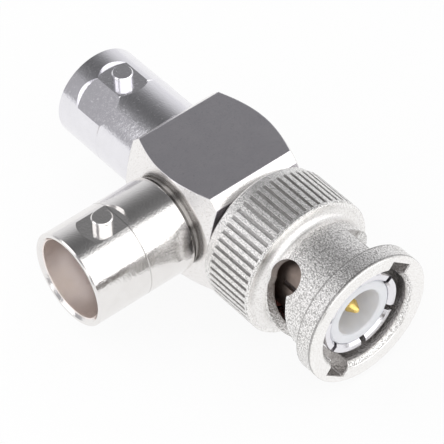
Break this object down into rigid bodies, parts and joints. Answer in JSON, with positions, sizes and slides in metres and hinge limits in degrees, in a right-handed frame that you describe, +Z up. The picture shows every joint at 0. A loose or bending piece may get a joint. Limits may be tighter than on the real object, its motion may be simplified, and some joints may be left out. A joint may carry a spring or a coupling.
{
  "type": "coaxial t adapter",
  "caption": "Bayonet coaxial T adapter: a plug with a sprung fluted coupling nut in line with a jack, a second jack at right angles, joined by a short square bar",
  "frame": {"origin": "on the ground under the middle of the adapter's bounding box, where the fluted ring would touch it", "axes": "+X out along the plug and away from the through jack, +Y away from the branch jack's mouth, +Z up, across the axes' plane; the three axes lie 7.18 mm above the ground"},
  "size_m": [0.0392, 0.0246, 0.0144],
  "materials": {
    "nickel_body": "satin nickel plate with turned bright edges",
    "nickel_bright": "mirror-bright nickel plate",
    "nut_cast": "grainy die-cast metal, nickel plated",
    "spring_steel": "bare spring steel",
    "insulator_white": "waxy white fluoropolymer",
    "contact_gold": "gold plate",
    "gasket_red": "red-brown silicone rubber"
  },
  "bodies": {
    "adapter": {"tee_body": "nickel_body", "end_cap": "nickel_body", "through_jack_shell": "nickel_bright", "branch_jack_shell": "nickel_bright", "through_jack_insulator": "insulator_white", "branch_jack_insulator": "insulator_white", "through_socket_contact": "contact_gold", "branch_socket_contact": "contact_gold", "center_conductor": "contact_gold", "plug_body": "nickel_bright", "outer_contact": "nickel_bright", "body_insulator": "insulator_white", "plug_insulator": "insulator_white", "plug_pin": "contact_gold", "gasket": "gasket_red", "front_wave_washer": "spring_steel"},
    "nut_carrier": {"retaining_ring": "spring_steel", "thrust_washer": "spring_steel", "rear_wave_washer": "spring_steel"},
    "spacer": {"middle_washer": "spring_steel"},
    "nut": {"coupling_nut": "nut_cast"}
  },
  "joints": [
    {"name": "nut_slide", "type": "slide", "parent": "adapter", "child": "nut_carrier", "axis": [1, 0, 0], "range_m": [0, 0.0011], "stiffness_N_per_m": 5000, "springref_m": -0.0004, "deforming": ["rear_wave_washer", "front_wave_washer"]},
    {"name": "nut_turn", "type": "hinge", "parent": "nut_carrier", "child": "nut", "pos_m": [-0.00175, 0.00513, 0.00718], "axis": [1, 0, 0], "continuous": true},
    {"name": "spacer_slide", "type": "slide", "parent": "adapter", "child": "spacer", "axis": [1, 0, 0], "range_m": [0, 0.00055]}
  ],
  "couplings": [
    {"joint": "spacer_slide", "follows": "nut_slide", "ratio": 0.5}
  ]
}
